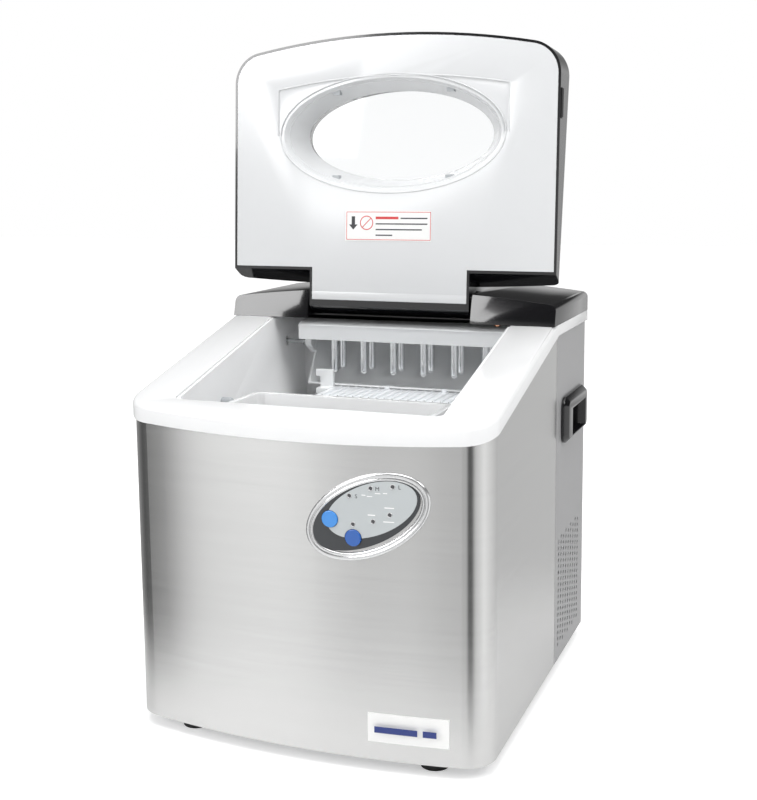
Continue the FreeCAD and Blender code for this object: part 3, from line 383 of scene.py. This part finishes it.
def letter(name, text, x, z, height, material, body, stand_off):
    """A generic size letter, a thin raised print."""
    curve = bpy.data.curves.new(name, "FONT")
    curve.body = text
    curve.size = height
    curve.extrude = PRINT_THICKNESS / 2
    curve.align_x = "CENTER"
    curve.align_y = "CENTER"
    holder = bpy.data.objects.new(name + "_flat", curve)
    bpy.context.scene.collection.objects.link(holder)
    mesh = bpy.data.meshes.new_from_object(holder.evaluated_get(bpy.context.evaluated_depsgraph_get()))
    bpy.data.objects.remove(holder)
    mesh.transform(Matrix.Translation((x, 0, z)) @ Matrix.Rotation(math.radians(90), 4, "X"))
    on_front(mesh, stand_off)
    return new_piece(name, mesh, material, body)


PRINT_DARK = finish("dark print", (0.03, 0.03, 0.035), 0.5, bump=0.0)
PRINT_WHITE = finish("white print", (0.9, 0.9, 0.9), 0.4, bump=0.0)
PRINT_BLUE = finish("blue print", (0.02, 0.04, 0.20), 0.4, bump=0.0)
PRINT_RED = finish("red print", (0.62, 0.03, 0.03), 0.4, bump=0.0)

PANEL_MIDDLE = ((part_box("control_bezel")[0].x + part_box("control_bezel")[1].x) / 2,
                (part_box("control_bezel")[0].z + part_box("control_bezel")[1].z) / 2)
PRINT_THICKNESS = 0.00008
BAR_THICKNESS = 0.05 * MM
PRINT_STAND_OFF = 1.52 * MM
COLLAR_RADIUS = 2.1 * MM
COLLAR_PROFILE = [(0, 0.0015), (-0.0002, 0.0019), (-0.0006, 0.0019), (-0.0008, 0.0015)]
BEZEL_SIZE = (49.7 * MM, 29.2 * MM)
BEZEL_TILT = 24.5


def control_bezel():
    """Silver moulding with an outer half-round, a groove and an inner step."""
    profile = [(0.0, 0.05), (0.0, 0.5), (-0.4, 1.15), (-1.2, 1.6), (-2.2, 1.75), (-3.0, 1.6), (-3.4, 1.25),
               (-3.8, 1.2), (-4.2, 1.55), (-5.0, 1.7), (-5.6, 1.45), (-6.4, 0.6), (-6.4, 0.05)]
    profile = [(out * MM, proud * MM) for out, proud in profile]
    ring = oval_moulding("control_bezel_look", PANEL_MIDDLE, BEZEL_SIZE, BEZEL_TILT, profile, SILVER,
                         "cabinet")
    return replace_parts(ring, "control_bezel")


def lamp_rings():
    """Raised collars round the six lamps, and the letters beside the three size lamps."""
    lamps = NODES["indicator_lamps"].data
    middles = []
    for vertex in lamps.vertices:
        place = (vertex.co.x, vertex.co.z)
        near = [m for m in middles if math.dist(m[0], place) < 0.004]
        if near:
            near[0][1].append(place)
        else:
            middles.append((place, [place]))
    centres = [(sum(p[0] for p in pts) / len(pts), sum(p[1] for p in pts) / len(pts)) for _, pts in middles]
    for index, centre in enumerate(sorted(centres)):
        oval_moulding(f"lamp_collar_{index}", centre, (COLLAR_RADIUS, COLLAR_RADIUS), 0.0, COLLAR_PROFILE,
                      SILVER, "cabinet", 28)
    top_row = sorted(sorted(centres, key=lambda c: -c[1])[:3])
    for (x, z), text in zip(top_row, "SML"):
        letter("size_letter_" + text, text, x + 5.0 * MM, z - 0.3 * MM, 4.2 * MM, PRINT_DARK, "cabinet",
               PRINT_STAND_OFF)


def front_print(name, bars, material, body, stand_off):
    """Flat printed bars (x0, x1, z0, z1 in millimetres) laid on the bowed front."""
    work = bmesh.new()
    for x0, x1, z0, z1 in bars:
        flat = bmesh.ops.create_cube(work, size=1.0)["verts"]
        bmesh.ops.scale(work, vec=((x1 - x0) * MM, BAR_THICKNESS, (z1 - z0) * MM), verts=flat)
        bmesh.ops.translate(work, vec=((x0 + x1) / 2 * MM, 0, (z0 + z1) / 2 * MM), verts=flat)
    mesh = mesh_of(work, name)
    on_front(mesh, stand_off)
    return new_piece(name, mesh, material, body)


def panel_marks():
    """Plain marks where the small lettering would be, and a bar on the corner plate."""
    marks = [(56, 59, 209.6, 210.2), (60, 64, 209.0, 209.5), (66, 70, 211.4, 212.0), (72, 75, 211.8, 212.4),
             (60.5, 66, 195.2, 196.0), (73, 80, 201.2, 202.0), (72, 80, 191.0, 191.7)]
    front_print("panel_marks", marks, PRINT_WHITE, "cabinet", PRINT_STAND_OFF)
    low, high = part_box("badge_plate")
    x, z = (low.x + high.x) / 2 / MM, (low.z + high.z) / 2 / MM
    bars = [(x - 24, x + 8, z - 2.4, z + 2.4), (x + 12, x + 22, z - 2.4, z + 2.4)]
    plate_stand_off = front_skin(x * MM) - low.y + 0.03 * MM
    front_print("plate_bar", bars, PRINT_BLUE, "cabinet", plate_stand_off)


control_bezel()
lamp_rings()
panel_marks()


# ---- repeated small forms ----------------------------------------------------------------------
def row_tree():
    """Geometry nodes: one small ring on every point of a staggered upright grid."""
    tree = bpy.data.node_groups.new("staggered grid", "GeometryNodeTree")
    sockets = {"Columns": ("NodeSocketInt", 1), "Rows": ("NodeSocketInt", 1),
               "Column Step": ("NodeSocketFloat", 0.01), "Row Step": ("NodeSocketFloat", 0.01),
               "Ring Radius": ("NodeSocketFloat", 0.002), "Wire Radius": ("NodeSocketFloat", 0.0003),
               "Finish": ("NodeSocketMaterial", None)}
    keys = {}
    for label, (kind, value) in sockets.items():
        socket = tree.interface.new_socket(label, in_out="INPUT", socket_type=kind)
        keys[label] = socket.identifier
        if value is not None:
            socket.default_value = value
    tree.interface.new_socket("Mesh", in_out="OUTPUT", socket_type="NodeSocketGeometry")
    source, sink = tree.nodes.new("NodeGroupInput"), tree.nodes.new("NodeGroupOutput")
    given = source.outputs

    column = tree.nodes.new("GeometryNodeMeshLine")
    tree.links.new(given["Rows"], column.inputs["Count"])
    rise = tree.nodes.new("ShaderNodeCombineXYZ")
    tree.links.new(given["Row Step"], rise.inputs["Z"])
    tree.links.new(rise.outputs[0], column.inputs["Offset"])
    columns = tree.nodes.new("GeometryNodeMeshLine")
    tree.links.new(given["Columns"], columns.inputs["Count"])
    across = tree.nodes.new("ShaderNodeCombineXYZ")
    tree.links.new(given["Column Step"], across.inputs["Y"])
    tree.links.new(across.outputs[0], columns.inputs["Offset"])

    index = tree.nodes.new("GeometryNodeInputIndex")
    odd = math_node(tree, "MODULO", index.outputs[0], 2.0)
    lift = math_node(tree, "MULTIPLY", math_node(tree, "MULTIPLY", odd, 0.5), given["Row Step"])
    shift = tree.nodes.new("ShaderNodeCombineXYZ")
    tree.links.new(lift, shift.inputs["Z"])
    staggered = tree.nodes.new("GeometryNodeSetPosition")
    tree.links.new(columns.outputs["Mesh"], staggered.inputs["Geometry"])
    tree.links.new(shift.outputs[0], staggered.inputs["Offset"])
    grid = tree.nodes.new("GeometryNodeInstanceOnPoints")
    tree.links.new(staggered.outputs[0], grid.inputs["Points"])
    tree.links.new(column.outputs["Mesh"], grid.inputs["Instance"])
    points = tree.nodes.new("GeometryNodeRealizeInstances")
    tree.links.new(grid.outputs[0], points.inputs[0])

    ring = tree.nodes.new("GeometryNodeCurvePrimitiveCircle")
    ring.inputs["Resolution"].default_value = 14
    tree.links.new(given["Ring Radius"], ring.inputs["Radius"])
    wire = tree.nodes.new("GeometryNodeCurvePrimitiveCircle")
    wire.inputs["Resolution"].default_value = 6
    tree.links.new(given["Wire Radius"], wire.inputs["Radius"])
    rim = tree.nodes.new("GeometryNodeCurveToMesh")
    tree.links.new(ring.outputs["Curve"], rim.inputs["Curve"])
    tree.links.new(wire.outputs["Curve"], rim.inputs["Profile Curve"])
    upright = tree.nodes.new("GeometryNodeTransform")
    upright.inputs["Rotation"].default_value = (0.0, math.pi / 2, 0.0)
    tree.links.new(rim.outputs[0], upright.inputs["Geometry"])

    rims = tree.nodes.new("GeometryNodeInstanceOnPoints")
    tree.links.new(points.outputs[0], rims.inputs["Points"])
    tree.links.new(upright.outputs[0], rims.inputs["Instance"])
    real = tree.nodes.new("GeometryNodeRealizeInstances")
    tree.links.new(rims.outputs[0], real.inputs[0])
    coated = tree.nodes.new("GeometryNodeSetMaterial")
    tree.links.new(real.outputs[0], coated.inputs["Geometry"])
    tree.links.new(given["Finish"], coated.inputs["Material"])
    tree.links.new(coated.outputs[0], sink.inputs["Mesh"])
    return tree, keys


GRID_TREE, GRID_KEYS = row_tree()


def grid_of_rims(name, corner, columns, rows, column_step, row_step, ring, wire, material):
    """A staggered grid of small rims as one mesh; corner is the first rim's middle."""
    holder = bpy.data.objects.new(name + "_grid", bpy.data.meshes.new(name + "_grid"))
    bpy.context.scene.collection.objects.link(holder)
    modifier = holder.modifiers.new("grid", "NODES")
    modifier.node_group = GRID_TREE
    given = {"Columns": columns, "Rows": rows, "Column Step": column_step, "Row Step": row_step,
             "Ring Radius": ring, "Wire Radius": wire, "Finish": material}
    for label, value in given.items():
        modifier[GRID_KEYS[label]] = value
    mesh = bpy.data.meshes.new_from_object(holder.evaluated_get(bpy.context.evaluated_depsgraph_get()))
    holder.modifiers.clear()
    bpy.data.objects.remove(holder)
    mesh.transform(Matrix.Translation(corner))
    smooth_by_angle(mesh, 60.0)
    return new_piece(name, mesh, material, "cabinet")


def vent_rims():
    """Pressed rims round the punched vent holes on both rear side panels."""
    step_y = (VENT_Y[1] - VENT_Y[0]) / (VENT_COLUMNS - 1)
    step_z = (VENT_Z[1] - VENT_Z[0]) / (VENT_ROWS - 0.5)
    for node, skin in (("side_panel_right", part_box("side_panel_right")[1].x),
                       ("side_panel_left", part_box("side_panel_left")[0].x)):
        grid_of_rims(node + "_rims", (skin, VENT_Y[0], VENT_Z[0]), VENT_COLUMNS, VENT_ROWS, step_y, step_z,
                     VENT_RIM_RADIUS, VENT_RIM_WIRE, GREY_COAT)


VENT_COLUMNS, VENT_ROWS = 9, 18
VENT_Y, VENT_Z = (66.0 * MM, 142.0 * MM), (24.0 * MM, 120.0 * MM)
VENT_RIM_RADIUS, VENT_RIM_WIRE = 1.95 * MM, 0.2 * MM
vent_rims()


# ---- lid lining details: made on the closed lid's plan, then laid on the open lining ------------
HINGE = next(joint for joint in frame["joints"] if joint["name"] == "lid_hinge")
OPEN = math.radians(HINGE["range_deg"][1])
FRAME_SLOPE = math.radians(14.25)


def lining_matrix():
    """Takes (x, distance from the lid's rear edge, lift off the lining) to its place on the open lid."""
    label_low, label_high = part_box("safety_label")
    middle = (label_low + label_high) / 2
    lean = FRAME_SLOPE - OPEN
    along = -Vector((0, math.cos(lean), math.sin(lean)))
    lift = Vector((0, math.sin(lean), -math.cos(lean)))
    turn = Matrix((Vector((1, 0, 0)), along, lift)).transposed()
    origin = middle - along * LABEL_MIDDLE_V - lift * (0.15 * MM)
    origin.x = 0
    return Matrix.Translation(origin) @ turn.to_4x4()


LABEL_MIDDLE_V = 39.0 * MM
WINDOW_V = 118.5 * MM
LINING = lining_matrix()


def flat_shape(work, outline, lift, thick):
    """A thin plate from a flat (u, v) outline, between two lifts off the lining."""
    low = [work.verts.new((u, v, lift)) for u, v in outline]
    high = [work.verts.new((u, v, lift + thick)) for u, v in outline]
    work.faces.new(low)
    work.faces.new(high)
    for i in range(len(outline)):
        j = (i + 1) % len(outline)
        work.faces.new((low[i], low[j], high[j], high[i]))


def rectangle(u0, u1, v0, v1):
    """Corner points of an upright rectangle."""
    return [(u0, v0), (u1, v0), (u1, v1), (u0, v1)]


def lining_piece(name, outlines, material, lift=0.3 * MM, thick=0.05 * MM):
    """Thin printed shapes on the lid lining, riding on the lid."""
    work = bmesh.new()
    for outline in outlines:
        flat_shape(work, outline, lift, thick)
    mesh = mesh_of(work, name)
    mesh.transform(LINING)
    return new_piece(name, mesh, material, "lid")


def label_print():
    """Plain red border, a ring with a bar, an arrow and grey bars where words would be."""
    half_w, half_h, line = 39.0 * MM, 12.2 * MM, 0.5 * MM
    v0, v1 = LABEL_MIDDLE_V - half_h, LABEL_MIDDLE_V + half_h
    border = [rectangle(-half_w, half_w, v0, v0 + line), rectangle(-half_w, half_w, v1 - line, v1),
              rectangle(-half_w, -half_w + line, v0, v1), rectangle(half_w - line, half_w, v0, v1)]
    ring_u, ring_v, ring_r = -20.0 * MM, LABEL_MIDDLE_V + 2.6 * MM, 6.2 * MM
    bore = ring_r - line * 1.6
    for i in range(36):
        a0, a1 = math.radians(i * 10), math.radians(i * 10 + 10)
        border.append([(ring_u + r * math.cos(a), ring_v + r * math.sin(a))
                       for r, a in ((ring_r, a0), (ring_r, a1), (bore, a1), (bore, a0))])
    slant = ring_r * 0.68
    border.append([(ring_u - slant, ring_v - slant + line), (ring_u - slant + line, ring_v - slant),
                   (ring_u + slant, ring_v + slant - line), (ring_u + slant - line, ring_v + slant)])
    border.append(rectangle(-11.5 * MM, 9.5 * MM, v1 - 6.4 * MM, v1 - 4.2 * MM))
    lining_piece("label_red_print", border, PRINT_RED)
    arrow_u = -32.5 * MM
    corners = ((0, -6), (4, -1.5), (1.6, -1.5), (1.6, 5.6), (-1.6, 5.6), (-1.6, -1.5), (-4, -1.5))
    arrow = [(arrow_u + du * MM, ring_v + dv * MM) for du, dv in corners]
    bars = [arrow]
    for row, (start, end) in enumerate(((11.5, 36.0), (-11.5, 36.0), (-11.5, 31.0), (-11.5, 4.0))):
        v = v1 - (6.1 + row * 4.9) * MM
        bars.append(rectangle(start * MM, end * MM, v, v + 1.1 * MM))
    lining_piece("label_grey_print", bars, PRINT_DARK)


def bead(name, points, radius, material, body, closed=False):
    """A thin round bead laid along a line on the lining."""
    curve = bpy.data.curves.new(name, "CURVE")
    curve.dimensions = "3D"
    curve.bevel_depth = radius
    curve.bevel_resolution = 3
    curve.use_fill_caps = True
    spline = curve.splines.new("POLY")
    spline.points.add(len(points) - 1)
    for point, (u, v, lift) in zip(spline.points, points):
        point.co = (*(LINING @ Vector((u, v, lift))), 1.0)
    spline.use_cyclic_u = closed
    holder = bpy.data.objects.new(name + "_line", curve)
    bpy.context.scene.collection.objects.link(holder)
    mesh = bpy.data.meshes.new_from_object(holder.evaluated_get(bpy.context.evaluated_depsgraph_get()))
    bpy.data.objects.remove(holder)
    smooth_by_angle(mesh, 60.0)
    return new_piece(name, mesh, material, body)


def window_oval(half_width, half_height, lift):
    """Points of an oval round the window's middle, in millimetres over the lining."""
    turns = [2 * math.pi * i / 120 for i in range(120)]
    return [((half_width * math.cos(a)) * MM, WINDOW_V + (half_height * math.sin(a)) * MM, lift * MM)
            for a in turns]


def lining_beads():
    """Fine beads: two ovals round the window's well, and a bowed step over it with short legs."""
    outer, inner = window_oval(103.5, 50.9, 0.0), window_oval(97.0, 45.4, -5.2)
    # The window beads take the lining's darker white, with its painted shade.
    bead("window_bead", outer, 0.6 * MM, WHITE_LINING_PAINTED_SHADE, "lid", True)
    bead("window_inner_bead", inner, 0.5 * MM, WHITE_LINING_PAINTED_SHADE, "lid", True)
    half, foot, shoulder, bow = 106.0, 118.0, 158.5, 9.5
    arch = [(-half * MM, foot * MM, 0.0)]
    for i in range(25):
        u = -half + 2 * half * i / 24
        arch.append((u * MM, (shoulder + bow * (1 - (u / half) ** 2)) * MM, 0.0))
    arch.append((half * MM, foot * MM, 0.0))
    bead("window_step_bead", arch, 0.6 * MM, WHITE_LINING_PAINTED_SHADE, "lid")


label_print()
lining_beads()


# ---- camera, light and floor -------------------------------------------------------------------
def aim(obj, place, target):
    """Puts an object at a place with its -Z axis toward the target."""
    obj.location = place
    obj.rotation_mode = "QUATERNION"
    obj.rotation_quaternion = (Vector(target) - Vector(place)).to_track_quat("-Z", "Y")


def soft_light(name, place, target, size, power):
    """A white rectangular soft box, power in watts."""
    data = bpy.data.lights.new(name, "AREA")
    data.shape = "RECTANGLE"
    data.size, data.size_y = size
    data.energy = power
    lamp = bpy.data.objects.new(name, data)
    bpy.context.scene.collection.objects.link(lamp)
    aim(lamp, place, target)
    return lamp


CAMERA_PLACE = Vector((378.51, -948.77, 440.36)) * MM
CAMERA_RIGHT = Vector((0.93132927, 0.36405259, -0.00956559))
CAMERA_UP = Vector((-0.04041333, 0.12941917, 0.99076609))
camera_data = bpy.data.cameras.new("camera")
camera_data.sensor_width = 36.0
camera_data.lens = 54.94
camera_data.shift_x = 0.0
camera_data.shift_y = -0.08
camera = bpy.data.objects.new("camera", camera_data)
bpy.context.scene.collection.objects.link(camera)
back = CAMERA_RIGHT.cross(CAMERA_UP)
camera_turn = Matrix((CAMERA_RIGHT, CAMERA_UP, back)).transposed().to_4x4()
camera.matrix_world = Matrix.Translation(CAMERA_PLACE) @ camera_turn
bpy.context.scene.camera = camera

floor_mesh = bpy.data.meshes.new("floor")
floor_mesh.from_pydata([(-6, -6, 0), (6, -6, 0), (6, 6, 0), (-6, 6, 0)], [], [(0, 1, 2, 3)])
floor = bpy.data.objects.new("floor", floor_mesh)
bpy.context.scene.collection.objects.link(floor)


def floor_finish():
    """Pale matt floor; the eye sees it lifted to white except where the machine shades it.

    Reflections see it only near the machine, and the room beyond."""
    material = finish("pale floor", (0.90, 0.90, 0.90), 0.7, bump=0.0, values={"Tint": 0.0, "Smear": 0.0})
    tree = material.node_tree
    surface = tree.nodes["Principled BSDF"]
    surface.inputs["Emission Color"].default_value = (1, 1, 1, 1)
    paths = add_node(tree, "ShaderNodeLightPath")
    direct = math_node(tree, "MAXIMUM", paths.outputs["Is Camera Ray"], paths.outputs["Is Transmission Ray"])
    tree.links.new(math_node(tree, "MULTIPLY", direct, FLOOR_LIFT), surface.inputs["Emission Strength"])
    away = add_node(tree, "ShaderNodeVectorMath", operation="LENGTH")
    tree.links.new(add_node(tree, "ShaderNodeTexCoord").outputs["Object"], away.inputs[0])
    fade = add_node(tree, "ShaderNodeMapRange", interpolation_type="SMOOTHSTEP")
    fade.inputs["From Min"].default_value = FLOOR_REFLECTED_TO[0]
    fade.inputs["From Max"].default_value = FLOOR_REFLECTED_TO[1]
    tree.links.new(away.outputs["Value"], fade.inputs["Value"])
    gone = math_node(tree, "MULTIPLY", fade.outputs["Result"], paths.outputs["Is Glossy Ray"])
    choice = add_node(tree, "ShaderNodeMixShader")
    tree.links.new(gone, choice.inputs[0])
    tree.links.new(surface.outputs[0], choice.inputs[1])
    tree.links.new(add_node(tree, "ShaderNodeBsdfTransparent").outputs[0], choice.inputs[2])
    tree.links.new(choice.outputs[0], tree.nodes["Material Output"].inputs["Surface"])
    return material


FLOOR_REFLECTED_TO = (0.2, 0.45)
FLOOR_LIFT = 0.42
dress(floor, floor_finish())


def step_up(tree, value, start, end):
    """Zero under start, one over end."""
    ranger = add_node(tree, "ShaderNodeMapRange")
    ranger.inputs["From Min"].default_value = start
    ranger.inputs["From Max"].default_value = end
    tree.links.new(value, ranger.inputs["Value"])
    return ranger.outputs["Result"]


def studio_surround():
    """White to the eye, and in reflections a room of soft boxes and dark flags placed by compass angle."""
    world = bpy.data.worlds.new("studio")
    bpy.context.scene.world = world
    world.use_nodes = True
    tree = world.node_tree
    room = tree.nodes["Background"]
    heading = add_node(tree, "ShaderNodeSeparateXYZ")
    tree.links.new(add_node(tree, "ShaderNodeTexCoord").outputs["Generated"], heading.inputs[0])
    forward = math_node(tree, "MULTIPLY", heading.outputs["Y"], -1.0)
    compass = math_node(tree, "ARCTAN2", heading.outputs["X"], forward)
    turn = add_node(tree, "ShaderNodeMapRange")
    turn.inputs["From Min"].default_value = -math.pi
    turn.inputs["From Max"].default_value = math.pi
    tree.links.new(compass, turn.inputs["Value"])
    ramp = add_node(tree, "ShaderNodeValToRGB")
    tree.links.new(turn.outputs["Result"], ramp.inputs["Fac"])
    stops = ramp.color_ramp.elements
    for index, (_, level) in ((0, ROOM_LEVELS[0]), (1, ROOM_LEVELS[-1])):
        stops[index].color = (level, level, level, 1.0)
    for degrees, level in ROOM_LEVELS[1:-1]:
        stops.new((degrees + 180.0) / 360.0).color = (level, level, level, 1.0)
    rays = add_node(tree, "ShaderNodeLightPath")
    flag = add_node(tree, "ShaderNodeMix", data_type="RGBA")
    flagged = math_node(tree, "MULTIPLY", step_up(tree, heading.outputs["Z"], *FLAG_FROM),
                        rays.outputs["Is Glossy Ray"])
    tree.links.new(flagged, flag.inputs[0])
    tree.links.new(ramp.outputs["Color"], flag.inputs[6])
    flag.inputs[7].default_value = (FLAG_LEVEL,) * 3 + (1.0,)
    mixed = add_node(tree, "ShaderNodeMix", data_type="RGBA")
    tree.links.new(step_up(tree, heading.outputs["Z"], *OVERHEAD_FROM), mixed.inputs[0])
    tree.links.new(flag.outputs[2], mixed.inputs[6])
    mixed.inputs[7].default_value = (OVERHEAD_LEVEL,) * 3 + (1.0,)
    tree.links.new(mixed.outputs[2], room.inputs["Color"])
    tree.links.new(spread(tree, rays.outputs["Is Diffuse Ray"], 1.0, DIFFUSE_GAIN), room.inputs["Strength"])
    backdrop = add_node(tree, "ShaderNodeBackground")
    backdrop.inputs["Color"].default_value = (1, 1, 1, 1)
    direct = math_node(tree, "MAXIMUM", rays.outputs["Is Camera Ray"], rays.outputs["Is Transmission Ray"])
    choice = add_node(tree, "ShaderNodeMixShader")
    tree.links.new(direct, choice.inputs[0])
    tree.links.new(room.outputs[0], choice.inputs[1])
    tree.links.new(backdrop.outputs[0], choice.inputs[2])
    tree.links.new(choice.outputs[0], tree.nodes["World Output"].inputs["Surface"])


# brightness of the room by compass angle: 0 is in front of the machine, 90 to its right, -90 to its left
ROOM_LEVELS = [(-180, 0.65), (-150, 0.5), (-80, 0.12), (-52, 0.14), (-44, 0.95), (-26, 1.05), (-14, 0.8),
               (-4, 0.85), (1, 0.68), (20, 0.6), (27, 0.12), (39, 0.12), (52, 0.75), (85, 1.15),
               (105, 1.0), (158, 0.64), (180, 0.65)]
FLAG_LEVEL, FLAG_FROM = 0.06, (0.12, 0.24)
OVERHEAD_LEVEL, OVERHEAD_FROM = 1.2, (0.6, 0.9)
DIFFUSE_GAIN = 0.85
studio_surround()
soft_light("key", (-1.495, -2.18, 1.68), (0, 0.035, 0.32), (1.2, 0.7), 22).visible_glossy = False
soft_light("top", (0.1, -0.5, 2.0), (0, -0.05, 0.2), (1.2, 1.2), 13)
soft_light("side", (1.3, -0.5, 1.5), (0.1, 0, 0.25), (0.6, 0.6), 7)
gloss_window = soft_light("gloss window", (-1.65, -2.2, 1.62), (0, 0.035, 0.32), (1.44, 1.7), 60)
gloss_window.visible_diffuse = False
gloss_window.visible_transmission = False
bpy.context.scene.view_settings.view_transform = "Standard"
